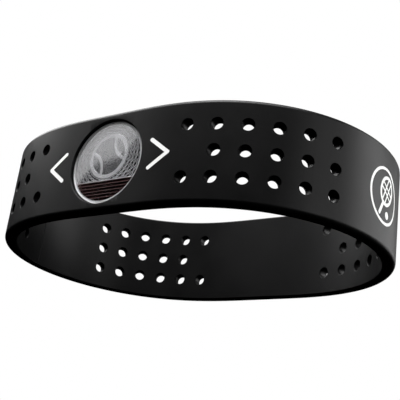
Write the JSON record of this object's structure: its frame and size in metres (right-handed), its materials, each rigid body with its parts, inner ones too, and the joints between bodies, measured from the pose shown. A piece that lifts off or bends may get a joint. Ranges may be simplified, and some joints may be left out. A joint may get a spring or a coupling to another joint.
{
  "type": "perforated silicone wristband",
  "caption": "Closed oval loop of black moulded silicone with ventilation holes, a foil disc under a clear lens front and back, white chevrons and a white racket emblem at each end.",
  "frame": {"origin": "centre of the loop, on the plane that the lower rim lies on", "axes": "+Z along the loop's own axis, +X along the long way of the oval towards the right emblem, -Y towards the front disc"},
  "size_m": [0.0622, 0.0444, 0.0145],
  "materials": {
    "black_silicone": "satin moulded silicone rubber",
    "white_ink": "matt silicone ink, filled flush",
    "embossed_foil": "finely embossed metallised film",
    "clear_resin": "clear gloss resin",
    "adhesive": "acrylic adhesive film"
  },
  "bodies": {
    "root": {"band": "black_silicone", "front_adhesive_pad": "adhesive", "front_foil_disc": "embossed_foil", "front_clear_lens": "clear_resin", "rear_adhesive_pad": "adhesive", "rear_foil_disc": "embossed_foil", "rear_clear_lens": "clear_resin", "front_left_chevron": "white_ink", "front_right_chevron": "white_ink", "rear_left_chevron": "white_ink", "rear_right_chevron": "white_ink", "right_emblem_ring": "white_ink", "right_emblem_racket": "white_ink", "right_emblem_ball": "white_ink", "left_emblem_ring": "white_ink", "left_emblem_racket": "white_ink", "left_emblem_ball": "white_ink"}
  },
  "joints": []
}
